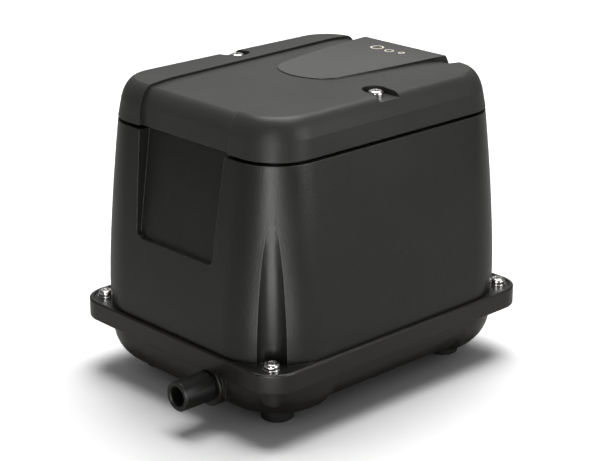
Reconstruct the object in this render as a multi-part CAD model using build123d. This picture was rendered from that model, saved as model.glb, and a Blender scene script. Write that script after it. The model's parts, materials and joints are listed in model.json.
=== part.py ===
from build123d import *
import os
from math import cos, radians, sin

# Linear diaphragm air pump for ponds. Millimetres, +Z up, the air outlet faces -Y.
# Heights below count from a datum just above the floor, and the finished parts are raised to stand on it.
FLOOR = -0.9

# Casing: a leaning shell that stands on the rim of the air tank
CASING_WIDTH = 172.0
CASING_LENGTH = 211.0
CASING_CORNER = 41.4
CASING_FOOT = 42.1
CASING_TOP = 159.0
LEAN_START = 60.0
SIDE_LEAN = 8.3
SIDE_LEAN_POWER = 1.45
END_LEAN = 10.0
END_LEAN_POWER = 1.35
CORNER_SHRINK = 1.27
WALL = 3.0

# Sunken panel on each end of the casing, with the air intake above it
PANEL_FOOT = 95.6
PANEL_FOOT_HALF = 34.0
PANEL_TOP_HALF = 37.8
PANEL_FOOT_Y = 100.1
PANEL_TOP_Y = 88.0
PANEL_CORNER = 4.5

# Flutes that clear a screwdriver at the corner screws. They narrow going up.
SCREW_X = 76.05
SCREW_Y = 96.0
FLUTE_FOOT_RADIUS = 9.75
FLUTE_TOP_RADIUS = 7.6
RIM_GROOVE_RADIUS = 8.6

# Lid
LID_FOOT = 161.0
LID_CREASE = 172.3
LID_TOP = 185.2
LID_WIDTH = 154.0
LID_LENGTH = 189.2
LID_CORNER = 27.0
LID_CORNER_GROWTH = 3.0
LID_SKIRT_TAPER = 1.0
LID_EDGE_OUT = 11.3
LID_EDGE_UP = 22.6
LID_EDGE_START = 28.0
LID_DOME = 1.2
LID_DOME_REACH = 20.0
LID_WALL = 3.0
BAND_FRONT_HALF = 38.3
BAND_REAR_HALF = 49.5
BAND_DEPTH = 1.7
BAND_FACE_DEPTH = 2.2
LID_SCREW_X = 60.3
POCKET_FLOOR = 181.0
POCKET_RADIUS = 8.0

# Air tank with its rim
RIM_WIDTH = 177.8
RIM_LENGTH = 216.6
RIM_CORNER = 18.4
RIM_FOOT = 32.5
RIM_TOP = 44.6
REBATE_FLOOR = 41.1
RIM_LIP = 2.5
TANK_WIDTH = 171.0
TANK_LENGTH = 210.0
TANK_CORNER = 42.5
TANK_FOOT = 5.8
TANK_ROUND = 24.0
SCOOP_TOP = 9.2
SCOOP_INNER = 50.0
SCOOP_OUTER = 63.0
TANK_FLOOR = 14.0
TANK_WALL = 5.5
COVER_SEAT = 36.1
COVER_FOOT = 37.1
COVER_TOP = 40.6

# Feet
FOOT_X = 53.3
FOOT_Y = 71.35
FOOT_RADIUS = 9.8
FOOT_TOP = 9.0

# Outlet for a hose
OUTLET_X = 33.4
OUTLET_Z = 23.5
OUTLET_TIP_Y = -130.3
OUTLET_RADIUS = 9.0
OUTLET_BORE = 5.8
COLLAR_RADIUS = 12.3
COLLAR_FACE_Y = -108.0

# Pump unit, lying along Y inside the casing
AXIS_Z = 96.0
FRAME_FOOT = 58.0
FRAME_END_Y = 40.0
HEAD_HALF = 38.0
DIAPHRAGM_RADIUS = 34.0
HEAD_FACE_Y = 43.0
VALVE_WALL_Y = 52.0
VALVE_FACE_Y = 56.0
HEAD_END_Y = 74.0
PORT_X = 18.0
HOSE_Y = 65.0
CORE_GAP = 13.0
HEAD_SCREW = 33.0

# Mains cable
CABLE_X = -40.0
CABLE_Z = 64.0
CABLE_RADIUS = 3.4
CABLE_END_Y = 130.3

CLEAR = 0.05
TURN = Rot(0, 0, 180)


# ---------------------------------------------------------------- helpers
def block(low, high):
    """Box between two corners."""
    size = [b - a for a, b in zip(low, high)]
    return Pos(*low) * Box(*size, align=(Align.MIN, Align.MIN, Align.MIN))


def slab(width, length, corner, low, high):
    """Rounded rectangle, upright between two heights."""
    return Pos(0, 0, low) * extrude(RectangleRounded(width, length, corner), high - low)


def rod(radius, start, end):
    """Round bar from one point to another."""
    along = Vector(*end) - Vector(*start)
    place = Plane(origin=start, z_dir=along)
    return place * Cylinder(radius, along.length, align=(Align.CENTER, Align.CENTER, Align.MIN))


def cone(start_radius, end_radius, start, end):
    """Round bar that tapers from one point to another."""
    along = Vector(*end) - Vector(*start)
    upward = (Align.CENTER, Align.CENTER, Align.MIN)
    return Plane(origin=start, z_dir=along) * Cone(start_radius, end_radius, along.length, align=upward)


def tube(outer, inner, start, end):
    return rod(outer, start, end) - rod(inner, start, end)


def hexagon(across_flats, start, end):
    """Hexagonal bar from one point to another."""
    along = Vector(*end) - Vector(*start)
    outline = RegularPolygon(across_flats / 2, 6, major_radius=False)
    return Plane(origin=start, z_dir=along) * extrude(outline, along.length)


def both_ends(shape):
    """The shape at the outlet end, and the same one turned round to the other end."""
    return [shape, TURN * shape]


def four(x, y, make):
    """One copy at each corner of a rectangle."""
    return [make(i * x, j * y) for i in (-1, 1) for j in (-1, 1)]


def panhead(x, y, seat, head_radius, head_height, shank_radius, tip):
    """Pan head screw pointing down, with a hexagonal socket."""
    head = rod(head_radius, (x, y, seat), (x, y, seat + head_height))
    head = fillet(head.edges().sort_by(Axis.Z)[-1], head_height * 0.55)
    head -= hexagon(head_radius * 0.75, (x, y, seat + head_height * 0.4), (x, y, seat + head_height))
    return head + rod(shank_radius, (x, y, tip), (x, y, seat))


# ---------------------------------------------------------------- casing
def casing_outline(z, skin):
    """The casing's level outline at this height, moved in by skin."""
    height = max(z - LEAN_START, 0) / 100
    side = SIDE_LEAN * height**SIDE_LEAN_POWER
    end = END_LEAN * height**END_LEAN_POWER
    corner = CASING_CORNER - CORNER_SHRINK * (side + end) / 2
    width = CASING_WIDTH - 2 * (side + skin)
    length = CASING_LENGTH - 2 * (end + skin)
    return Pos(0, 0, z) * RectangleRounded(width, length, corner - skin)


def leaning_form(skin, low, high):
    """The casing without panels or flutes: upright at first, then leaning in."""
    start = max(low, LEAN_START)
    steps = 6
    heights = [start + (high - start) * i / (steps - 1) for i in range(steps)]
    form = loft([casing_outline(z, skin) for z in heights])
    if low < start:
        form += extrude(casing_outline(low, skin), start - low)
    return form


def panel_space(grow):
    """The space in front of the sunken panel at the outlet end. grow keeps a wall behind it."""
    high_z = 220
    climb = high_z - PANEL_FOOT
    spread = (PANEL_TOP_HALF - PANEL_FOOT_HALF) / (CASING_TOP - PANEL_FOOT)
    foot_half = PANEL_FOOT_HALF + grow
    top_half = foot_half + spread * climb
    foot = PANEL_FOOT - grow
    front = make_face(
        Polyline((-foot_half, foot), (foot_half, foot), (top_half, high_z), (-top_half, high_z), close=True)
    )
    front = fillet(front.vertices().group_by(Axis.Y)[0], PANEL_CORNER + grow)
    space = Pos(0, -60, 0) * (Plane.XZ * extrude(front, 70))
    slope = (PANEL_FOOT_Y - PANEL_TOP_Y) / (CASING_TOP - PANEL_FOOT)
    low_y = -PANEL_FOOT_Y + grow - slope * 20
    high_y = -PANEL_FOOT_Y + grow + slope * climb
    low_z = PANEL_FOOT - 20
    side = make_face(Polyline((-130, low_z), (low_y, low_z), (high_y, high_z), (-130, high_z), close=True))
    return space & (Pos(-60, 0, 0) * extrude(Plane.YZ * side, 120))


def flute(x, y, skin, low, high):
    """Upright groove at a corner screw, moved out by skin."""
    narrowing = (FLUTE_FOOT_RADIUS - FLUTE_TOP_RADIUS) / (CASING_TOP - CASING_FOOT)
    low_radius = FLUTE_FOOT_RADIUS + skin - narrowing * (low - CASING_FOOT)
    high_radius = FLUTE_FOOT_RADIUS + skin - narrowing * (high - CASING_FOOT)
    return cone(low_radius, high_radius, (x, y, low), (x, y, high))


def casing_form(skin, low, high):
    """The casing's whole shape moved in by skin, so walls, panels and flutes all follow."""
    form = leaning_form(skin, low, high)
    form -= both_ends(panel_space(skin))
    return form - four(SCREW_X, SCREW_Y, lambda x, y: flute(x, y, skin, low - 1, high + 1))


def housing():
    shell = casing_form(0, CASING_FOOT, CASING_TOP) - casing_form(WALL, CASING_FOOT - 1, CASING_TOP + 1)
    foot = slab(CASING_WIDTH, CASING_LENGTH, 15.5, CASING_FOOT, CASING_FOOT + 1.9)
    foot -= slab(158, 197, 34, CASING_FOOT - 1, CASING_FOOT + 3)
    foot -= four(SCREW_X, SCREW_Y, lambda x, y: rod(2.8, (x, y, CASING_FOOT - 1), (x, y, CASING_FOOT + 3)))
    shell += foot
    ledge = casing_form(WALL - 0.5, 145, 148) - casing_form(WALL + 2.5, 144, 149)
    shell += ledge
    for side in (-1, 1):
        x = side * LID_SCREW_X
        boss = rod(5.5, (x, 0, 135), (x, 0, 157.5))
        web = block((min(x, side * 76.5), -2, 135), (max(x, side * 76.5), 2, 157.5))
        shell += (boss + web) - rod(2.1, (x, 0, 130), (x, 0, 160))
    gland_hole = rod(6.1, (CABLE_X, 95, CABLE_Z), (CABLE_X, 115, CABLE_Z))
    return shell - gland_hole


def filter_tray():
    """Deck under the lid that carries the filter.

    Its collar closes the gap below the lid, except above the sunken panels, where the air comes in.
    """
    skin = WALL + 0.4
    floor = casing_form(skin, 148.1, 150.6)
    for i in range(9):
        x = -44 + 11 * i
        floor -= both_ends(block((x - 2.5, -62, 147), (x + 2.5, -6, 152)))
    collar = slab(146, 176.8, 22.5, 150.6, 163) - slab(142.4, 173.2, 20.7, 150, 164)
    tray = floor + (collar & casing_form(skin, 150, 165))
    for side in (-1, 1):
        x = side * LID_SCREW_X
        tray -= block((x - 6.4, -6.4, 147), (x + 6.4, 6.4, 165))
        tray -= block((min(x, side * 90), -2.4, 147), (max(x, side * 90), 2.4, 158))
    return tray


def air_filter():
    """Foam pad that lies on the filter tray."""
    return slab(100, 150, 8, 150.8, 168.8)


# ---------------------------------------------------------------- lid
def lid_form(skin, face_depth, top_depth):
    """The lid's shape moved in by skin, with its ends and its top lowered further.

    A steep skirt, then a crease, a rounded edge and a slightly domed top.
    """

    def level(z, lean, growth):
        inset = skin + lean
        width = LID_WIDTH - 2 * inset
        length = LID_LENGTH - 2 * inset - 2 * face_depth
        corner = max(LID_CORNER - inset + growth, 4)
        return Pos(0, 0, z) * RectangleRounded(width, length, corner)

    start = radians(LID_EDGE_START)
    dome_foot = LID_TOP - LID_DOME
    squeeze = (dome_foot - skin - top_depth - LID_CREASE) / (dome_foot - LID_CREASE)
    crown = []
    for degrees in (LID_EDGE_START, 38, 48, 58, 67, 75, 81):
        turn = radians(degrees)
        z = LID_CREASE + squeeze * LID_EDGE_UP * (sin(turn) - sin(start))
        crown.append((z, LID_SKIRT_TAPER + LID_EDGE_OUT * (cos(start) - cos(turn))))
    edge_z, edge_lean = crown[-1]
    rise = LID_TOP - skin - top_depth - edge_z
    dome = []
    for degrees in range(0, 91, 15):
        dome.append((edge_z + rise * sin(radians(degrees)), edge_lean + LID_DOME_REACH * degrees / 90))
    skirt = loft([level(LID_FOOT, 0, 0), level(LID_CREASE, LID_SKIRT_TAPER, LID_CORNER_GROWTH)])
    edge = loft([level(z, lean, LID_CORNER_GROWTH) for z, lean in crown])
    return skirt + edge + loft([level(z, lean, LID_CORNER_GROWTH) for z, lean in dome], ruled=True)


def band_space():
    """The strip along the middle of the lid, wider at the rear."""
    reach = 110
    outline = Polyline(
        (-BAND_FRONT_HALF, -reach),
        (BAND_FRONT_HALF, -reach),
        (BAND_REAR_HALF, reach),
        (-BAND_REAR_HALF, reach),
        close=True,
    )
    return Pos(0, 0, LID_FOOT - 5) * extrude(make_face(outline), 40)


def plateau():
    """Raised tongue on the band. It rises from a low front edge to the rear of the lid."""
    outline = make_face(
        [
            ThreePointArc((-15, -6.3), (0, -10), (15, -6.3)),
            ThreePointArc((15, -6.3), (21.8, -0.8), (25, 8)),
            ThreePointArc((25, 8), (31, 48), (36, 110)),
            Line((36, 110), (-36, 110)),
            ThreePointArc((-36, 110), (-31, 48), (-25, 8)),
            ThreePointArc((-25, 8), (-21.8, -0.8), (-15, -6.3)),
        ]
    )
    floor = LID_TOP - BAND_DEPTH
    side = Plane.YZ * make_face(
        [
            ThreePointArc((-12, floor + 0.4), (35, floor + 1.6), (100, floor + 1.8)),
            Line((100, floor + 1.8), (100, floor - 8)),
            Line((100, floor - 8), (-12, floor - 2)),
            Line((-12, floor - 2), (-12, floor + 0.4)),
        ]
    )
    tongue = Pos(0, 0, floor - 10) * extrude(outline, 20) & (Pos(-60, 0, 0) * extrude(side, 120))
    return tongue & lid_form(0, 1.0, -4.0)


def lid():
    band_cut = band_space() - lid_form(0, BAND_FACE_DEPTH, BAND_DEPTH)
    shell = lid_form(0, 0, 0) - band_cut + plateau()
    shell -= lid_form(LID_WALL, BAND_FACE_DEPTH, BAND_DEPTH)
    for side in (-1, 1):
        x = side * LID_SCREW_X
        pillar = rod(6.0, (x, 0, 158.5), (x, 0, POCKET_FLOOR))
        saucer = rod(POCKET_RADIUS + 2, (x, 0, POCKET_FLOOR - 3), (x, 0, POCKET_FLOOR))
        shell += pillar + (saucer & lid_form(1.0, 0, 0))
        out = side * 90
        pocket = rod(POCKET_RADIUS, (x, 0, POCKET_FLOOR), (x, 0, 190))
        pocket += block((min(x, out), -POCKET_RADIUS, POCKET_FLOOR), (max(x, out), POCKET_RADIUS, 190))
        shell -= pocket
        shell -= rod(2.3, (x, 0, 150), (x, 0, 190))
    return shell


def lid_screws():
    return [panhead(i * LID_SCREW_X, 0, POCKET_FLOOR, 4.7, 3.4, 2.0, 139) for i in (-1, 1)]


# ---------------------------------------------------------------- tank
def raised_profile(y, foot):
    """Upright slice across the tank between the feet, with its underside at this height."""
    half = TANK_WIDTH / 2 + 0.25
    slice_of_tank = make_face(Polyline((-half, foot), (half, foot), (half, 50), (-half, 50), close=True))
    slice_of_tank = fillet(slice_of_tank.vertices().group_by(Axis.Y)[0], TANK_ROUND)
    return Pos(0, y, 0) * (Plane.XZ * slice_of_tank)


def scoop():
    """What is taken off the underside and the long sides between the feet."""
    low = TANK_FOOT - 0.4
    stages = [(SCOOP_OUTER, low), (0.7 * SCOOP_OUTER + 0.3 * SCOOP_INNER, low + 0.5)]
    stages += [(0.3 * SCOOP_OUTER + 0.7 * SCOOP_INNER, SCOOP_TOP - 0.5), (SCOOP_INNER, SCOOP_TOP)]
    ramp = loft([raised_profile(y, foot) for y, foot in stages])
    middle = extrude(raised_profile(SCOOP_INNER, SCOOP_TOP), 2 * SCOOP_INNER)
    kept = middle + both_ends(ramp)
    return block((-100, -SCOOP_OUTER, 0), (100, SCOOP_OUTER, RIM_FOOT)) - kept


def tank_outside():
    body = slab(TANK_WIDTH, TANK_LENGTH, TANK_CORNER, TANK_FOOT, RIM_FOOT + 1)
    body = fillet(body.faces().sort_by(Axis.Z)[0].edges(), TANK_ROUND)
    body -= scoop()
    return body - four(SCREW_X, SCREW_Y, lambda x, y: rod(RIM_GROOVE_RADIUS, (x, y, 0), (x, y, RIM_FOOT)))


def tank():
    rim = slab(RIM_WIDTH, RIM_LENGTH, RIM_CORNER, RIM_FOOT, RIM_TOP)
    rim = fillet(rim.faces().sort_by(Axis.Z)[-1].edges(), 1.1)
    rim = fillet(rim.faces().sort_by(Axis.Z)[0].edges(), 0.9)
    collar = rod(COLLAR_RADIUS, (OUTLET_X, COLLAR_FACE_Y, OUTLET_Z), (OUTLET_X, -98, OUTLET_Z))
    collar = fillet(collar.edges().sort_by(Axis.Y)[0], 0.8)
    pad = block((OUTLET_X - 14, -105.6, 19), (OUTLET_X + 14, -98, RIM_FOOT))
    body = tank_outside() + rim + collar + pad
    rebate_width = RIM_WIDTH - 2 * RIM_LIP
    rebate_length = RIM_LENGTH - 2 * RIM_LIP
    body -= slab(rebate_width, rebate_length, RIM_CORNER - RIM_LIP, REBATE_FLOOR, RIM_TOP + 1)
    body -= slab(167, 206, 38, COVER_SEAT, RIM_TOP)
    cavity = slab(TANK_WIDTH - 2 * TANK_WALL, TANK_LENGTH - 2 * TANK_WALL, 37, TANK_FLOOR, COVER_SEAT + 1)
    cavity = fillet(cavity.faces().sort_by(Axis.Z)[0].edges(), 18)
    for x, y in cover_screw_places():
        cavity -= rod(4.5, (x, y, TANK_FLOOR), (x, y, COVER_SEAT + 1))
    body -= cavity
    body -= slab(167, 206, 38, COVER_SEAT, RIM_TOP)
    body -= [rod(1.55, (x, y, 22), (x, y, 40)) for x, y in cover_screw_places()]
    body -= four(SCREW_X, SCREW_Y, lambda x, y: rod(2.1, (x, y, 34.5), (x, y, 50)))
    body -= four(FOOT_X, FOOT_Y, lambda x, y: rod(FOOT_RADIUS + 0.1, (x, y, 0), (x, y, FOOT_TOP)))
    body -= four(FOOT_X, FOOT_Y, lambda x, y: rod(1.6, (x, y, 0), (x, y, 13)))
    body -= rod(8.6 + CLEAR, (OUTLET_X, -120, OUTLET_Z), (OUTLET_X, -90, OUTLET_Z))
    return body


def cover_screw_places():
    """Screws round the tank's cover: two on each long side, one on each end, one in each corner."""
    sides = [(i * 76, j * 32) for i in (-1, 1) for j in (-1, 1)]
    corners = [(i * 66.7, j * 86.2) for i in (-1, 1) for j in (-1, 1)]
    return sides + corners + [(0, -95.5), (0, 95.5)]


def housing_gasket():
    ring = slab(CASING_WIDTH, CASING_LENGTH, 15.5, REBATE_FLOOR, CASING_FOOT)
    ring -= slab(167.5, 206.5, 38.3, REBATE_FLOOR - 1, CASING_FOOT + 1)
    return ring - four(SCREW_X, SCREW_Y, lambda x, y: rod(2.8, (x, y, 40), (x, y, 45)))


def tank_gasket():
    ring = slab(166, 205, 37.5, COVER_SEAT, COVER_FOOT)
    ring -= slab(146, 185, 28, COVER_SEAT - 1, COVER_FOOT + 1)
    return ring - [rod(1.9, (x, y, 30), (x, y, 45)) for x, y in cover_screw_places()]


def tank_cover():
    """Plate that closes the tank and carries the pump. Two stubs take the air down."""
    plate = slab(166, 205, 37.5, COVER_FOOT, COVER_TOP)
    plate -= [rod(1.9, (x, y, 30), (x, y, 45)) for x, y in cover_screw_places()]
    stub = rod(5.0, (PORT_X, -HOSE_Y, COVER_TOP - 1), (PORT_X, -HOSE_Y, COVER_TOP + 6))
    plate += both_ends(stub)
    return plate - both_ends(rod(3.4, (PORT_X, -HOSE_Y, 30), (PORT_X, -HOSE_Y, 60)))


def cover_screws():
    return [panhead(x, y, COVER_TOP, 3.2, 1.4, 1.5, 27) for x, y in cover_screw_places()]


def base_washers():
    seat = CASING_FOOT + 1.9
    return four(SCREW_X, SCREW_Y, lambda x, y: tube(5.1, 2.7, (x, y, seat), (x, y, seat + 0.7)))


def base_screws():
    seat = CASING_FOOT + 2.6
    return four(SCREW_X, SCREW_Y, lambda x, y: panhead(x, y, seat, 4.7, 3.6, 2.0, 35.5))


def rubber_feet():
    def foot(x, y):
        body = rod(FOOT_RADIUS, (x, y, FLOOR), (x, y, FOOT_TOP))
        body = fillet(body.edges().sort_by(Axis.Z)[0], 1.2)
        return body - rod(4.0, (x, y, FLOOR), (x, y, 3.5)) - rod(2.1, (x, y, 0), (x, y, FOOT_TOP))

    return four(FOOT_X, FOOT_Y, foot)


def foot_screws():
    def screw(x, y):
        head = rod(3.8, (x, y, 1.3), (x, y, 3.5))
        head -= hexagon(3.0, (x, y, 1.3), (x, y, 2.6))
        return head + rod(1.55, (x, y, 3.5), (x, y, 12.5))

    return four(FOOT_X, FOOT_Y, screw)


# ---------------------------------------------------------------- outlet
def outlet_nozzle():
    """Stub with a bevelled mouth. Its root is thinner, to pass below the tank's rim into the collar."""

    def along(radius, start, end):
        return rod(radius, (OUTLET_X, start, OUTLET_Z), (OUTLET_X, end, OUTLET_Z))

    shoulder = -RIM_LENGTH / 2 - 0.3
    stub = along(OUTLET_RADIUS, OUTLET_TIP_Y, shoulder)
    stub = chamfer(stub.edges().sort_by(Axis.Y)[0], 0.7)
    body = stub + along(8.6, shoulder, -96)
    body -= along(8.7, -105.8, -104) - along(7.3, -107, -103)
    mouth = (OUTLET_X, OUTLET_TIP_Y, OUTLET_Z)
    funnel = cone(OUTLET_BORE + 0.8, OUTLET_BORE, mouth, (OUTLET_X, OUTLET_TIP_Y + 0.8, OUTLET_Z))
    return body - along(OUTLET_BORE, OUTLET_TIP_Y, -96) - funnel


def outlet_o_ring():
    return Plane(origin=(OUTLET_X, -104.9, OUTLET_Z), z_dir=(0, 1, 0)) * Torus(7.96, 0.62)


# ---------------------------------------------------------------- motor
def isolators():
    return four(44, 28, lambda x, y: tube(8, 2.2, (x, y, COVER_TOP), (x, y, FRAME_FOOT)))


def isolator_screws():
    """Studs through the rubber, from the frame into the tank's cover."""
    return four(44, 28, lambda x, y: panhead(x, y, FRAME_FOOT + 4, 4.0, 2.4, 2.0, COVER_TOP + 0.1))


def motor_frame():
    floor = block((-52, -FRAME_END_Y, FRAME_FOOT), (52, FRAME_END_Y, FRAME_FOOT + 4))
    floor -= four(44, 28, lambda x, y: rod(2.1, (x, y, 50), (x, y, 70)))
    frame = floor
    for j in (-1, 1):
        inner, outer = j * (FRAME_END_Y - 4), j * FRAME_END_Y
        top = AXIS_Z + HEAD_HALF
        wall = block((-HEAD_HALF, min(inner, outer), FRAME_FOOT), (HEAD_HALF, max(inner, outer), top))
        wall -= rod(30.5, (0, -60, AXIS_Z), (0, 60, AXIS_Z))
        frame += wall
    rails = [block((i * 45 - 5, -24, FRAME_FOOT + 4), (i * 45 + 5, 24, AXIS_Z - 18)) for i in (-1, 1)]
    frame += rails
    frame -= head_screw_holes(1.7)
    return frame - core_screw_holes(1.7)


def head_screw_holes(radius):
    reach = HEAD_END_Y + 5
    holes = []
    for i in (-1, 1):
        for k in (-1, 1):
            x, z = i * HEAD_SCREW, AXIS_Z + k * HEAD_SCREW
            holes.append(rod(radius, (x, -reach, z), (x, reach, z)))
    return holes


def core_screw_holes(radius):
    return four(45, 19, lambda x, y: rod(radius, (x, y, FRAME_FOOT + 6), (x, y, AXIS_Z + 25)))


def stator_cores():
    """Two stacks of E-shaped laminations, one each side of the armature."""
    core = block((40, -26, AXIS_Z - 18), (50, 26, AXIS_Z + 18))
    for low, high in ((-26, -17), (-6, 6), (17, 26)):
        core += block((CORE_GAP, low, AXIS_Z - 18), (40, high, AXIS_Z + 18))
    core -= core_screw_holes(1.75)
    return both_ends(core)


def core_screws():
    return four(45, 19, lambda x, y: panhead(x, y, AXIS_Z + 18, 3.2, 2.2, 1.6, FRAME_FOOT + 7))


def coil_ring(x_low, x_high, inside, outside):
    """Rectangular ring round the middle leg of a core."""

    def around(grow, start, end):
        return block((start, -6 - grow, AXIS_Z - 18 - grow), (end, 6 + grow, AXIS_Z + 18 + grow))

    return around(outside, x_low, x_high) - around(inside, x_low - 1, x_high + 1)


def bobbins():
    bobbin = coil_ring(15, 39, 0.15, 1.2)
    bobbin += coil_ring(15, 16.5, 0.15, 10.2) + coil_ring(37.5, 39, 0.15, 10.2)
    return both_ends(bobbin)


def coils():
    coil = coil_ring(16.6, 37.4, 1.3, 9.6)
    coil = fillet(coil.edges().filter_by(Axis.X).sort_by_distance((27, 0, AXIS_Z))[-4:], 4)
    return both_ends(coil)


def thermal_cutout():
    return block((-33, -5, AXIS_Z + 28.3), (-21, 5, AXIS_Z + 33))


# ---------------------------------------------------------------- armature
def armature():
    """Carrier with a window for each magnet, on a rod that reaches both diaphragms."""
    bar = block((-6, -34, AXIS_Z - 14), (6, 34, AXIS_Z + 14))
    bar += rod(4, (0, -48, AXIS_Z), (0, 48, AXIS_Z))
    for j in (-1, 1):
        bar -= block((-10, min(j * 4, j * 18), AXIS_Z - 12), (10, max(j * 4, j * 18), AXIS_Z + 12))
    return bar


def armature_magnets():
    return [
        block((-9, min(j * 4.05, j * 17.95), AXIS_Z - 11.95), (9, max(j * 4.05, j * 17.95), AXIS_Z + 11.95))
        for j in (-1, 1)
    ]


def diaphragm_discs():
    inner = tube(19, 4.05, (0, -40.7, AXIS_Z), (0, -38.6, AXIS_Z))
    outer = tube(19, 4.05, (0, -44.6, AXIS_Z), (0, -42.3, AXIS_Z))
    return both_ends(inner) + both_ends(outer)


def armature_nuts():
    nut = hexagon(12, (0, -48.4, AXIS_Z), (0, -44.65, AXIS_Z))
    return both_ends(nut - rod(4.05, (0, -50, AXIS_Z), (0, -44, AXIS_Z)))


def diaphragm():
    """Rubber disc with a thick rim and one rolled fold. Drawn at the outlet end."""
    flat_low, flat_high = 40.8, 42.2
    fold = 3.2
    fold_radius = 25
    section = Plane.YZ * make_face(
        [
            Line((-flat_low, 4.1), (-flat_low, fold_radius - fold + 1)),
            ThreePointArc(
                (-flat_low, fold_radius - fold + 1),
                (-flat_low - fold + 1, fold_radius),
                (-flat_low, fold_radius + fold - 1),
            ),
            Line((-flat_low, fold_radius + fold - 1), (-flat_low, 31)),
            Line((-flat_low, 31), (-FRAME_END_Y, 31)),
            Line((-FRAME_END_Y, 31), (-FRAME_END_Y, DIAPHRAGM_RADIUS)),
            Line((-FRAME_END_Y, DIAPHRAGM_RADIUS), (-HEAD_FACE_Y, DIAPHRAGM_RADIUS)),
            Line((-HEAD_FACE_Y, DIAPHRAGM_RADIUS), (-HEAD_FACE_Y, 31)),
            Line((-HEAD_FACE_Y, 31), (-flat_high, 31)),
            Line((-flat_high, 31), (-flat_high, fold_radius + fold)),
            ThreePointArc(
                (-flat_high, fold_radius + fold),
                (-flat_high - fold, fold_radius),
                (-flat_high, fold_radius - fold),
            ),
            Line((-flat_high, fold_radius - fold), (-flat_high, 4.1)),
            Line((-flat_high, 4.1), (-flat_low, 4.1)),
        ]
    )
    return Pos(0, 0, AXIS_Z) * revolve(section, Axis.Y)


# ---------------------------------------------------------------- pump heads
def head_plate(low_y, high_y):
    """Square plate at the outlet end, between two distances from the middle."""
    return block((-HEAD_HALF, -high_y, AXIS_Z - HEAD_HALF), (HEAD_HALF, -low_y, AXIS_Z + HEAD_HALF))


def pump_head():
    head = head_plate(FRAME_END_Y + CLEAR, VALVE_FACE_Y)
    head -= rod(DIAPHRAGM_RADIUS + CLEAR, (0, -HEAD_FACE_Y, AXIS_Z), (0, -30, AXIS_Z))
    head -= rod(31, (0, -VALVE_WALL_Y, AXIS_Z), (0, -40, AXIS_Z))
    for x in (-PORT_X, PORT_X):
        head -= block((x - 5, -60, AXIS_Z - 5), (x + 5, -50, AXIS_Z + 5))
    return head - head_screw_holes(1.7)


def head_cover():
    """Outer cover with an intake room, open at the top, and an exhaust room with a spigot."""
    cover = head_plate(VALVE_FACE_Y + CLEAR, HEAD_END_Y)
    cover = fillet(cover.edges().filter_by(Axis.Z).group_by(Axis.Y)[0], 4)
    for low, high in ((-28, -1.5), (1.5, 28)):
        cover -= block((low, -HEAD_END_Y + 3, AXIS_Z - 28), (high, -VALVE_FACE_Y, AXIS_Z + 28))
    cover -= block((-26, -HEAD_END_Y + 5, AXIS_Z + 20), (-6, -VALVE_FACE_Y - 2, AXIS_Z + 50))
    foot = AXIS_Z - HEAD_HALF
    cover += rod(5.0, (PORT_X, -HOSE_Y, foot - 6.5), (PORT_X, -HOSE_Y, foot))
    cover -= rod(3.4, (PORT_X, -HOSE_Y, foot - 7), (PORT_X, -HOSE_Y, AXIS_Z - 20))
    return cover - head_screw_holes(1.7)


def flap(x, y_low, y_high):
    """Thin rubber flap over a port, hinged along its inner upright edge."""
    side = 1 if x > 0 else -1
    near, far = x - side * 7, x + side * 7
    return block((min(near, far), -y_high, AXIS_Z - 7), (max(near, far), -y_low, AXIS_Z + 7))


def intake_flap():
    return flap(-PORT_X, VALVE_WALL_Y - 0.85, VALVE_WALL_Y - CLEAR)


def exhaust_flap():
    return flap(PORT_X, VALVE_FACE_Y + CLEAR, VALVE_FACE_Y + 0.85)


def head_screws():
    screws = []
    for i in (-1, 1):
        for k in (-1, 1):
            x, z = i * HEAD_SCREW, AXIS_Z + k * HEAD_SCREW
            shank = rod(1.65, (x, -HEAD_END_Y, z), (x, -FRAME_END_Y + 3, z))
            head = rod(3.2, (x, -HEAD_END_Y - 2.4, z), (x, -HEAD_END_Y, z))
            socket = hexagon(2.6, (x, -HEAD_END_Y - 2.4, z), (x, -HEAD_END_Y - 1, z))
            screws += both_ends(shank + head - socket)
    return screws


def hoses():
    foot = (PORT_X, -HOSE_Y, COVER_TOP + 0.2)
    end = (PORT_X, -HOSE_Y, AXIS_Z - HEAD_HALF - 0.2)
    return both_ends(tube(7.6, 5.05, foot, end))


def hose_clamps():
    clamps = []
    for z in (COVER_TOP + 2, AXIS_Z - HEAD_HALF - 4.5):
        ring = tube(8.4, 7.65, (PORT_X, -HOSE_Y, z), (PORT_X, -HOSE_Y, z + 2.5))
        ears = block((PORT_X + 8, -HOSE_Y - 1.5, z), (PORT_X + 11.5, -HOSE_Y + 1.5, z + 2.5))
        clamps += both_ends(ring + ears)
    return clamps


# ---------------------------------------------------------------- mains
def cable_gland():
    """Gland screwed into the rear wall. Its tail grips the cable."""
    def along(radius, start, end):
        return rod(radius, (CABLE_X, start, CABLE_Z), (CABLE_X, end, CABLE_Z))

    face = CASING_LENGTH / 2 + 0.3
    collar = hexagon(17, (CABLE_X, face, CABLE_Z), (CABLE_X, face + 4, CABLE_Z))
    tail = cone(7.2, 5.0, (CABLE_X, face + 4, CABLE_Z), (CABLE_X, face + 13, CABLE_Z))
    thread = along(6.0, 95, face)
    return thread + collar + tail - along(CABLE_RADIUS + CLEAR, 90, 125)


def gland_nut():
    nut = hexagon(17, (CABLE_X, 97, CABLE_Z), (CABLE_X, 101.4, CABLE_Z))
    return nut - rod(6.0 + CLEAR, (CABLE_X, 90, CABLE_Z), (CABLE_X, 105, CABLE_Z))


def power_cable():
    """Short length of mains cable, cut off behind the casing."""
    return rod(CABLE_RADIUS, (CABLE_X, 88, CABLE_Z), (CABLE_X, CABLE_END_Y, CABLE_Z))


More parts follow.
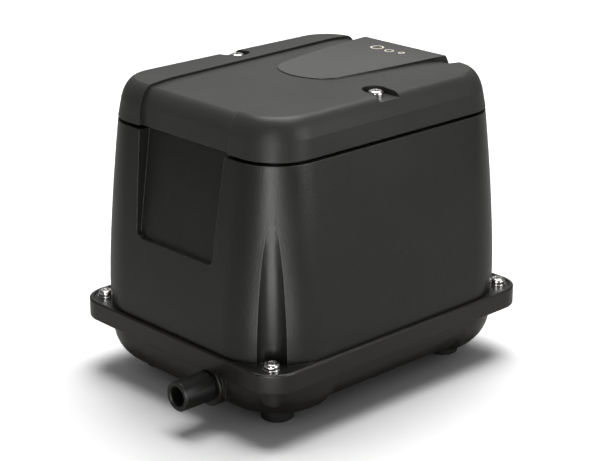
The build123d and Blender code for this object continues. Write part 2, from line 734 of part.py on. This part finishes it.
def terminal_block():
    body = block((-74, -16, COVER_TOP), (-60, 16, COVER_TOP + 13))
    for i in range(3):
        y = -10 + 10 * i
        body -= block((-71, y - 3.5, COVER_TOP + 5), (-63, y + 3.5, COVER_TOP + 14))
    return body


def wire(points, leaves, arrives, radius=1.1):
    """Insulated wire that bends smoothly through its points."""
    path = Spline(*points, tangents=(leaves, arrives))
    return sweep(Plane(origin=path @ 0, z_dir=path % 0) * Circle(radius), path)


def wiring():
    """Three mains cores to the terminals, and a lead from there to the nearer coil."""
    cores = []
    for i in range(3):
        y = -10 + 10 * i
        start = (CABLE_X + 2.2 * (i - 1), 87.8, CABLE_Z)
        run = [start, (-60 + 2 * i, 60, 68), (-67, y + 9, 66), (-67, y, COVER_TOP + 7)]
        cores.append(wire(run, (0, -1, 0), (0, 0, -1)))
    lead = [(-76.5, -10, COVER_TOP + 8), (-76.5, -10, 80), (-62, -10, 118), (-41, -10, 118)]
    cores.append(wire(lead, (0, 0, 1), (1, 0, -1)))
    return cores


NODES = {
    "lid": lid,
    "lid_screws": lid_screws,
    "air_filter": air_filter,
    "filter_tray": filter_tray,
    "housing": housing,
    "housing_gasket": housing_gasket,
    "base_screws": base_screws,
    "base_washers": base_washers,
    "tank": tank,
    "tank_gasket": tank_gasket,
    "tank_cover": tank_cover,
    "cover_screws": cover_screws,
    "rubber_feet": rubber_feet,
    "foot_screws": foot_screws,
    "outlet_nozzle": outlet_nozzle,
    "outlet_o_ring": outlet_o_ring,
    "isolators": isolators,
    "isolator_screws": isolator_screws,
    "motor_frame": motor_frame,
    "stator_cores": stator_cores,
    "core_screws": core_screws,
    "bobbins": bobbins,
    "coils": coils,
    "thermal_cutout": thermal_cutout,
    "armature": armature,
    "armature_magnets": armature_magnets,
    "diaphragm_discs": diaphragm_discs,
    "armature_nuts": armature_nuts,
    "front_diaphragm": diaphragm,
    "rear_diaphragm": lambda: TURN * diaphragm(),
    "front_pump_head": pump_head,
    "rear_pump_head": lambda: TURN * pump_head(),
    "front_head_cover": head_cover,
    "rear_head_cover": lambda: TURN * head_cover(),
    "front_intake_flap": intake_flap,
    "rear_intake_flap": lambda: TURN * intake_flap(),
    "front_exhaust_flap": exhaust_flap,
    "rear_exhaust_flap": lambda: TURN * exhaust_flap(),
    "head_screws": head_screws,
    "hoses": hoses,
    "hose_clamps": hose_clamps,
    "cable_gland": cable_gland,
    "gland_nut": gland_nut,
    "power_cable": power_cable,
    "terminal_block": terminal_block,
    "wiring": wiring,
}


def main():
    os.makedirs("parts", exist_ok=True)
    raised = Pos(0, 0, -FLOOR)
    for name, make in NODES.items():
        shape = make()
        pieces = shape if isinstance(shape, list) else [shape]
        solids = [raised * solid for piece in pieces for solid in piece.solids()]
        whole = solids[0] if len(solids) == 1 else Compound(children=solids)
        export_step(whole, f"parts/{name}.step")


main()
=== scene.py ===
import json
import math

import bpy
import bmesh
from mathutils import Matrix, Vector, noise
from mathutils.bvhtree import BVHTree


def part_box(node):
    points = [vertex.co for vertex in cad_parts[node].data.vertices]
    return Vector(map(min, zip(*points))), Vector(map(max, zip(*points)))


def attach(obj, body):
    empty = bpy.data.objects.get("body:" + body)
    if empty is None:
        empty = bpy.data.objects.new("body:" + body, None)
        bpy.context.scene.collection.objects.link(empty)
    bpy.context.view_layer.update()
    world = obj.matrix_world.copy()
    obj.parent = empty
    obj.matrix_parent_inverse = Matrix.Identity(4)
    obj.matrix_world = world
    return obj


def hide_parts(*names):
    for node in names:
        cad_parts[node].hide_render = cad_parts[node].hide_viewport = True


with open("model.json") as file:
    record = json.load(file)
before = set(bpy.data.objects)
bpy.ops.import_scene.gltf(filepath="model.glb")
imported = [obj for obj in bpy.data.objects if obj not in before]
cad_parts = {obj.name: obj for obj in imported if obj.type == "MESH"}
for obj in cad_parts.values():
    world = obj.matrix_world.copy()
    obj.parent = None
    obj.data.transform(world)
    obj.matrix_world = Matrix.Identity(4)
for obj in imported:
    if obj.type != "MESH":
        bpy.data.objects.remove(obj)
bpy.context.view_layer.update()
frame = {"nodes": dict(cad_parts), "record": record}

MM = 0.001
nodes = frame["nodes"]

# Where the viewer stands, round the middle of the casing
VIEW_AZIMUTH = 46.8
VIEW_ELEVATION = 19.6
VIEW_DISTANCE = 1.066
VIEW_AIM = Vector((0, 0, 0.1009))
VIEW_SHIFT_RIGHT = -0.0021
VIEW_SHIFT_UP = -0.0158
VIEW_LENS = 104.2


# ---------------------------------------------------------------- materials
class Shader:
    """Builds one node material. Scales are per metre, depths are in metres."""

    def __init__(self, name, color, roughness, metallic=0.0, specular=0.5):
        self.material = bpy.data.materials.new(name)
        self.material.use_nodes = True
        self.tree = self.material.node_tree
        self.surface = self.tree.nodes["Principled BSDF"]
        self.surface.inputs["Metallic"].default_value = metallic
        self.surface.inputs["Specular IOR Level"].default_value = specular
        self.place = self.tree.nodes.new("ShaderNodeTexCoord").outputs["Object"]
        self.color = self.value_of("RGB", (*color, 1.0))
        self.roughness = self.value_of("Value", roughness)
        self.specular = None
        self.normal = None

    def value_of(self, kind, value):
        node = self.tree.nodes.new("ShaderNode" + kind)
        node.outputs[0].default_value = value
        return node.outputs[0]

    def node(self, kind, sockets=None, **settings):
        made = self.tree.nodes.new("ShaderNode" + kind)
        for name, value in settings.items():
            setattr(made, name, value)
        for name, value in (sockets or {}).items():
            if isinstance(value, bpy.types.NodeSocket):
                self.tree.links.new(value, made.inputs[name])
            else:
                made.inputs[name].default_value = value
        return made

    def math(self, operation, a, b=0.0, c=0.0):
        return self.node("Math", {0: a, 1: b, 2: c}, operation=operation).outputs[0]

    def spread(self, value, low, high, out_low=0.0, out_high=1.0):
        """The value's range low to high, stretched to out_low to out_high."""
        sockets = {"Value": value, "From Min": low, "From Max": high, "To Min": out_low, "To Max": out_high}
        return self.node("MapRange", sockets).outputs["Result"]

    def noise(self, scale, detail=3.0, rough=0.5, stretch=None):
        place = self.place
        if stretch:
            place = self.node("Mapping", {"Vector": place, "Scale": stretch}).outputs["Vector"]
        sockets = {"Vector": place, "Scale": scale, "Detail": detail, "Roughness": rough}
        return self.node("TexNoise", sockets).outputs["Fac"]

    def mix_color(self, factor, a, b, blend="MIX"):
        made = self.node("Mix", {"Factor": factor}, data_type="RGBA", blend_type=blend)
        for index, value in ((6, a), (7, b)):
            if isinstance(value, bpy.types.NodeSocket):
                self.tree.links.new(value, made.inputs[index])
            else:
                made.inputs[index].default_value = (*value, 1.0)
        return made.outputs[2]

    def vary_color(self, scale, amount):
        """Slow light and dark patches."""
        patches = self.spread(self.noise(scale), 0.3, 0.7, 1 - amount, 1 + amount)
        tone = self.node("CombineColor", {"Red": patches, "Green": patches, "Blue": patches}).outputs[0]
        self.color = self.mix_color(1.0, self.color, tone, "MULTIPLY")

    def vary_roughness(self, scale, amount, stretch=None):
        patches = self.spread(self.noise(scale, stretch=stretch), 0.3, 0.7, -amount, amount)
        self.roughness = self.math("ADD", self.roughness, patches)

    def round_edges(self, radius):
        """Sharp edges catch the light as if they were slightly rounded."""
        sockets = {"Radius": radius}
        if self.normal:
            sockets["Normal"] = self.normal
        self.normal = self.node("Bevel", sockets, samples=6).outputs["Normal"]

    def paint_wear_and_edge_highlight(self, radius, color, strength):
        """Lighter edges, broken up by noise: partly rubbed wear, partly a painted highlight where the
        rounded edges would catch the light.
        """
        rounded = self.node("Bevel", {"Radius": radius}, samples=6).outputs["Normal"]
        true = self.node("NewGeometry").outputs["Normal"]
        facing = self.node("VectorMath", {0: rounded, 1: true}, operation="DOT_PRODUCT").outputs["Value"]
        edge = self.spread(facing, 0.995, 0.85)
        patchy = self.math("MULTIPLY", edge, self.spread(self.noise(160), 0.35, 0.65))
        self.color = self.mix_color(self.math("MULTIPLY", patchy, strength), self.color, color)

    def paint_crevice_shade(self, distance, strength):
        """Painted shade, not dust: ambient occlusion darkens the colour in corners, creases and gaps."""
        open_share = self.node("AmbientOcclusion", {"Distance": distance}, samples=6).outputs["AO"]
        shade = self.spread(open_share, 0.2, 0.9, 1 - strength, 1.0)
        tone = self.node("CombineColor", {"Red": shade, "Green": shade, "Blue": shade}).outputs[0]
        self.color = self.mix_color(1.0, self.color, tone, "MULTIPLY")

    def bump(self, height, depth, strength=1.0):
        sockets = {"Height": height, "Distance": depth, "Strength": strength}
        if self.normal:
            sockets["Normal"] = self.normal
        self.normal = self.node("Bump", sockets).outputs["Normal"]

    def done(self):
        link = self.tree.links.new
        link(self.color, self.surface.inputs["Base Color"])
        link(self.roughness, self.surface.inputs["Roughness"])
        if self.specular:
            link(self.specular, self.surface.inputs["Specular IOR Level"])
        if self.normal:
            link(self.normal, self.surface.inputs["Normal"])
        return self.material


def moulded_plastic(name, color, roughness, specular, grain=0.00012, smooth_area=None):
    """Black plastic from a spark-eroded mould: an even, very fine grain with a satin sheen."""
    s = Shader(name, color, roughness, specular=specular)
    s.vary_color(25, 0.08)
    # lighter edges: rubbed wear and a painted edge highlight
    s.paint_wear_and_edge_highlight(0.0007, (0.13, 0.13, 0.125), 0.7)
    # painted shade in corners, creases and gaps
    s.paint_crevice_shade(0.004, 0.6)
    s.vary_roughness(18, 0.03)
    s.vary_roughness(1500, 0.05)
    s.round_edges(0.0007)
    grained = s.noise(850, 2.0, 0.6)
    if smooth_area:
        smooth = smooth_area(s)
        s.roughness = s.math("SUBTRACT", s.roughness, s.math("MULTIPLY", smooth, 0.24))
        s.specular = s.spread(smooth, 0.0, 1.0, specular, 0.45)
        grained = s.math("MULTIPLY", grained, s.spread(smooth, 0.0, 1.0, 1.0, 0.1))
    s.bump(grained, grain, 0.9)
    return s.done()


def smooth_tongue(s):
    """Where the lid has no grain: the raised tongue on its top."""
    place = s.node("SeparateXYZ", {"Vector": s.place}).outputs
    across = s.spread(s.math("ABSOLUTE", place["X"]), 0.0380, 0.0375)
    along = s.spread(place["Y"], -0.0115, -0.0110)
    raised = s.spread(place["Z"], 0.18450, 0.18460)
    return s.math("MULTIPLY", across, s.math("MULTIPLY", along, raised))


def powder_coat(name, color, roughness, specular):
    """Cast metal under a thick satin coat, with a slight orange peel."""
    s = Shader(name, color, roughness, specular=specular)
    s.vary_color(30, 0.07)
    # lighter edges: rubbed wear and a painted edge highlight
    s.paint_wear_and_edge_highlight(0.0008, (0.11, 0.11, 0.108), 0.6)
    # painted shade in corners, creases and gaps
    s.paint_crevice_shade(0.006, 0.6)
    s.vary_roughness(22, 0.04)
    s.round_edges(0.0008)
    s.bump(s.noise(420, 2.0, 0.5), 0.00004, 0.6)
    s.bump(s.noise(1500, 2.0, 0.6), 0.00002, 0.6)
    return s.done()


def rubber(name, color, roughness=0.75):
    s = Shader(name, color, roughness, specular=0.35)
    s.vary_color(60, 0.15)
    s.vary_roughness(90, 0.08)
    s.round_edges(0.0006)
    s.bump(s.noise(700, 4.0, 0.65), 0.00006, 0.7)
    return s.done()


def bright_steel(name):
    """Polished stainless screw with fine turning marks and a few dull spots."""
    s = Shader(name, (0.78, 0.77, 0.75), 0.16, metallic=1.0)
    s.vary_color(500, 0.08)
    s.vary_roughness(700, 0.08, stretch=(1, 1, 6))
    s.round_edges(0.0003)
    s.bump(s.noise(2600, 2.0, 0.5), 0.00001, 0.5)
    return s.done()


def cast_aluminium(name):
    s = Shader(name, (0.60, 0.61, 0.62), 0.42, metallic=1.0)
    s.vary_color(80, 0.10)
    # lighter edges: rubbed wear and a painted edge highlight
    s.paint_wear_and_edge_highlight(0.0006, (0.85, 0.85, 0.86), 0.5)
    s.vary_roughness(140, 0.10)
    s.round_edges(0.0005)
    s.bump(s.noise(900, 3.0, 0.6), 0.00005, 0.7)
    return s.done()


def lamination_steel(name):
    """Thin stacked sheets, seen as fine lines across the height."""
    s = Shader(name, (0.20, 0.20, 0.215), 0.45, metallic=0.8)
    height = s.node("SeparateXYZ", {"Vector": s.place}).outputs["Z"]
    sheet = s.math("PINGPONG", height, 0.00035)
    s.vary_color(120, 0.2)
    s.vary_roughness(200, 0.1)
    s.bump(s.spread(sheet, 0.0, 0.00012), 0.0001, 0.9)
    return s.done()


def coil_winding(name):
    """Enamelled copper wire, laid in close turns round the bobbin."""
    s = Shader(name, (0.55, 0.20, 0.07), 0.28, metallic=0.9)
    across = s.node("SeparateXYZ", {"Vector": s.place}).outputs["X"]
    turns = s.math("PINGPONG", across, 0.0003)
    s.vary_color(150, 0.2)
    s.vary_roughness(300, 0.08)
    s.bump(s.spread(turns, 0.0, 0.0003), 0.00025, 0.9)
    return s.done()


def foam(name):
    """Open-cell foam: pale, matt struts, with the cells between them darkened as painted shade in the
    pores.
    """
    s = Shader(name, (0.055, 0.056, 0.060), 0.95, specular=0.15)
    pores = s.node("TexVoronoi", {"Vector": s.place, "Scale": 620.0}, feature="DISTANCE_TO_EDGE")
    cells = pores.outputs["Distance"]
    # the darker cell centres are painted shade inside the pores; the struts keep the lighter foam colour
    strut = s.spread(cells, 0.05, 0.28)
    s.color = s.mix_color(strut, (0.12, 0.12, 0.125), s.color)
    s.vary_color(40, 0.2)
    s.bump(s.spread(cells, 0.0, 0.35, 1.0, 0.0), 0.0006, 0.9)
    return s.done()


def soft_plastic(name, color, roughness):
    """Plain moulded or extruded plastic, for small inner parts and wire."""
    s = Shader(name, color, roughness)
    s.vary_color(90, 0.12)
    s.vary_roughness(160, 0.06)
    s.round_edges(0.0004)
    s.bump(s.noise(800, 2.0, 0.5), 0.00003, 0.5)
    return s.done()


MATERIALS = {
    "lid_plastic": moulded_plastic(
        "LidPlastic", (0.040, 0.040, 0.038), 0.40, 0.2, smooth_area=smooth_tongue
    ),
    "case_plastic": moulded_plastic("CasePlastic", (0.0165, 0.0168, 0.0145), 0.33, 0.42),
    "inner_plastic": moulded_plastic("InnerPlastic", (0.013, 0.0125, 0.0118), 0.34, 0.36),
    "tank_metal": powder_coat("TankCoat", (0.0145, 0.0122, 0.0106), 0.30, 0.5),
    "raw_aluminium": cast_aluminium("CastAluminium"),
    "bright_steel": bright_steel("BrightSteel"),
    "lamination_steel": lamination_steel("LaminationSteel"),
    "coil_winding": coil_winding("CoilWinding"),
    "bobbin_plastic": soft_plastic("BobbinPlastic", (0.62, 0.58, 0.48), 0.45),
    "black_rubber": rubber("BlackRubber", (0.008, 0.008, 0.008)),
    "valve_rubber": rubber("ValveRubber", (0.05, 0.05, 0.052), 0.55),
    "cable_rubber": rubber("CableRubber", (0.016, 0.016, 0.016), 0.6),
    "wire_insulation": soft_plastic("WireInsulation", (0.30, 0.10, 0.035), 0.38),
    "filter_foam": foam("FilterFoam"),
}


def paint(piece, slot):
    piece.data.materials.clear()
    piece.data.materials.append(MATERIALS[slot])


def paint_frame():
    for entry in frame["record"]["subparts"]:
        paint(nodes[entry["node"]], entry["material_slot"])


# ---------------------------------------------------------------- pieces
def new_piece(name, mesh, body, slot):
    piece = bpy.data.objects.new(name, mesh)
    bpy.context.scene.collection.objects.link(piece)
    paint(piece, slot)
    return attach(piece, body)


PAD_GRID = 0.0025
PAD_EDGE_RADIUS = 0.004
PAD_SINK = 0.0005
PORE_DEPTH = 0.0006
COARSE_PORES, FINE_PORES = 420, 900


def foam_filter():
    """The filter pad: soft rounded edges, a slightly uneven face and open pores."""
    low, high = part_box("air_filter")
    size, middle = high - low, (low + high) / 2
    counts = [max(2, round(length / PAD_GRID)) for length in size]
    bm = bmesh.new()
    bmesh.ops.create_cube(bm, size=1.0)
    for axis in range(3):
        cuts = [e for e in bm.edges if abs((e.verts[0].co - e.verts[1].co)[axis]) > 1e-4]
        bmesh.ops.subdivide_edges(bm, edges=cuts, cuts=counts[axis] - 1, use_grid_fill=True)
    inner = [length / 2 - PAD_EDGE_RADIUS for length in size]
    for vert in bm.verts:
        place = Vector([c * length for c, length in zip(vert.co, size)])
        core = Vector([max(-reach, min(reach, p)) for p, reach in zip(place, inner)])
        outward = (place - core).normalized()
        if (place - core).length > PAD_EDGE_RADIUS:
            place = core + outward * PAD_EDGE_RADIUS
        pore = noise.noise(place * COARSE_PORES) + 0.5 * noise.noise(place * FINE_PORES)
        vert.co = middle + place - outward * (PAD_SINK + PORE_DEPTH * pore)
    mesh = bpy.data.meshes.new("filter_foam_pad")
    bm.to_mesh(mesh)
    bm.free()
    for face in mesh.polygons:
        face.use_smooth = True
    piece = new_piece("filter_foam_pad", mesh, "filter", "filter_foam")
    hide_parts("air_filter")


# Printed rings, in millimetres: middle x, middle y, outer radius
RINGS = ((-9, 72, 4.4), (2.5, 71, 3.2), (11.5, 72.5, 2.2))
RING_WIDTH = 1.1
RING_LIFT, RING_SINK = 0.06, -0.05
RING_SEGMENTS = 48
ABOVE_LID = 250


def bubble_marks():
    """Three plain printed rings on the lid's tongue, laid on its surface."""
    lid = nodes["lid"]
    surface = BVHTree.FromPolygons(
        [lid.matrix_world @ vert.co for vert in lid.data.vertices],
        [tuple(face.vertices) for face in lid.data.polygons],
    )
    up = Vector((0, 0, 1))
    verts, faces = [], []
    for x, y, outer in RINGS:
        first = len(verts)
        inner = outer - RING_WIDTH
        section = ((outer, RING_LIFT), (inner, RING_LIFT), (inner, RING_SINK), (outer, RING_SINK))
        for i in range(RING_SEGMENTS):
            turn = 2 * math.pi * i / RING_SEGMENTS
            for reach, lift in section:
                start = Vector((x + reach * math.cos(turn), y + reach * math.sin(turn), ABOVE_LID)) * MM
                hit = surface.ray_cast(start, -up)[0]
                verts.append(hit + up * lift * MM)
        for i in range(RING_SEGMENTS):
            here, ahead = first + 4 * i, first + 4 * ((i + 1) % RING_SEGMENTS)
            for a in range(4):
                b = (a + 1) % 4
                faces.append((here + a, here + b, ahead + b, ahead + a))
    mesh = bpy.data.meshes.new("lid_bubble_marks")
    mesh.from_pydata(verts, [], faces)
    new_piece("lid_bubble_marks", mesh, "lid", "bobbin_plastic")


paint_frame()
foam_filter()
bubble_marks()


# ---------------------------------------------------------------- stage
CASING_MIDDLE = (0, 0, 0.1)
WHITE = (1, 1, 1, 1)


def aimed(place):
    """The turn that makes a lamp or card at that place face the object."""
    return (Vector(place) - Vector(CASING_MIDDLE)).to_track_quat("Z", "Y").to_euler()


def flat_sheet(name, x, y):
    """A flat rectangle reaching x and y either way from its middle."""
    mesh = bpy.data.meshes.new(name)
    mesh.from_pydata([(-x, -y, 0), (x, -y, 0), (x, y, 0), (-x, y, 0)], [], [(0, 1, 2, 3)])
    sheet = bpy.data.objects.new(name, mesh)
    bpy.context.scene.collection.objects.link(sheet)
    return sheet


def soft_light(name, place, width, height, watts):
    light = bpy.data.lights.new(name, "AREA")
    light.shape = "RECTANGLE"
    light.size = width
    light.size_y = height
    light.energy = watts
    lamp = bpy.data.objects.new(name, light)
    lamp.location = place
    lamp.visible_camera = False
    lamp.rotation_euler = aimed(place)
    bpy.context.scene.collection.objects.link(lamp)


def reflector(name, place, width, height, brightness):
    """Bright card that is only seen mirrored in the object, never by the camera or on the floor."""
    material = bpy.data.materials.new(name)
    material.use_nodes = True
    tree = material.node_tree
    glow = tree.nodes.new("ShaderNodeEmission")
    glow.inputs["Strength"].default_value = brightness
    tree.links.new(glow.outputs[0], tree.nodes["Material Output"].inputs["Surface"])
    card = flat_sheet(name, width / 2, height / 2)
    card.data.materials.append(material)
    card.location = place
    card.rotation_euler = aimed(place)
    card.visible_camera = False
    card.visible_diffuse = False
    card.visible_shadow = False
    return card


# Watts for the lamps, surface brightness for the cards
TOP_WATTS, BACK_WATTS = 41, 0.85
RIGHT_GLOW, CORNER_GLOW, FLOOR_GLOW = 4.95, 9.4, 5.4


def make_lights():
    soft_light("top_light", (-0.2, 0.35, 1.6), 1.3, 1.3, TOP_WATTS)
    soft_light("back_light", (-1.15, 1.05, 0.82), 1.2, 0.55, BACK_WATTS)
    reflector("right_card", (1.5, 0.5, 0.6), 0.9, 1.0, RIGHT_GLOW)
    reflector("corner_card", (0.88, -1.27, 0.30), 0.40, 1.0, CORNER_GLOW)
    lying = reflector("floor_card", (0.41, -0.46, 0.003), 0.28, 0.7, FLOOR_GLOW)
    lying.rotation_euler = (0, 0, math.radians(41))


FLOOR_REACH = 12.0
FLOOR_TONE = (0.97, 0.97, 0.97)
MIRRORED_FLOOR_TONE = (0.32, 0.32, 0.31)
WHITENS_FROM, WHITE_AT = 0.6, 2.2


def make_floor():
    """Pale to the eye, white far away, and darker in reflections, so the black faces keep their depth."""
    floor = flat_sheet("floor", FLOOR_REACH, FLOOR_REACH)
    shader = Shader("PaleFloor", FLOOR_TONE, 0.8, specular=0.0)
    shader.vary_roughness(3, 0.03)
    ray = shader.node("LightPath").outputs
    shader.color = shader.mix_color(ray["Is Glossy Ray"], shader.color, MIRRORED_FLOOR_TONE)
    distance = shader.node("VectorMath", {0: shader.place}, operation="LENGTH").outputs["Value"]
    far = shader.spread(distance, WHITENS_FROM, WHITE_AT)
    whitening = shader.math("MULTIPLY", far, ray["Is Camera Ray"])
    shader.surface.inputs["Emission Color"].default_value = WHITE
    shader.tree.links.new(whitening, shader.surface.inputs["Emission Strength"])
    floor.data.materials.append(shader.done())


WORLD_SEEN = 1.05
WORLD_FILL = 0.22
WORLD_MIRRORED = 0.12


def make_world():
    """White to the camera, dim as a light, and darker still in reflections."""
    world = bpy.data.worlds.new("studio")
    world.use_nodes = True
    bpy.context.scene.world = world
    tree = world.node_tree
    back = tree.nodes["Background"]
    back.inputs["Color"].default_value = WHITE
    ray = tree.nodes.new("ShaderNodeLightPath")
    as_light = tree.nodes.new("ShaderNodeMapRange")
    as_light.inputs["To Min"].default_value = WORLD_FILL
    as_light.inputs["To Max"].default_value = WORLD_MIRRORED
    tree.links.new(ray.outputs["Is Glossy Ray"], as_light.inputs["Value"])
    strength = tree.nodes.new("ShaderNodeMapRange")
    strength.inputs["To Max"].default_value = WORLD_SEEN
    tree.links.new(ray.outputs["Is Camera Ray"], strength.inputs["Value"])
    tree.links.new(as_light.outputs["Result"], strength.inputs["To Min"])
    tree.links.new(strength.outputs["Result"], back.inputs["Strength"])


def make_camera():
    azimuth, elevation = math.radians(VIEW_AZIMUTH), math.radians(VIEW_ELEVATION)
    back = Vector((
        math.sin(azimuth) * math.cos(elevation),
        -math.cos(azimuth) * math.cos(elevation),
        math.sin(elevation),
    ))
    right = Vector((math.cos(azimuth), math.sin(azimuth), 0))
    up = back.cross(right)
    data = bpy.data.cameras.new("camera")
    data.sensor_width = 36.0
    data.lens = VIEW_LENS
    data.clip_start = 0.01
    camera = bpy.data.objects.new("camera", data)
    shift = right * VIEW_SHIFT_RIGHT + up * VIEW_SHIFT_UP
    camera.location = VIEW_AIM + back * VIEW_DISTANCE + shift
    camera.rotation_euler = back.to_track_quat("Z", "Y").to_euler()
    bpy.context.scene.collection.objects.link(camera)
    bpy.context.scene.camera = camera


make_floor()
make_world()
make_camera()
make_lights()
bpy.context.scene.view_settings.view_transform = "Standard"
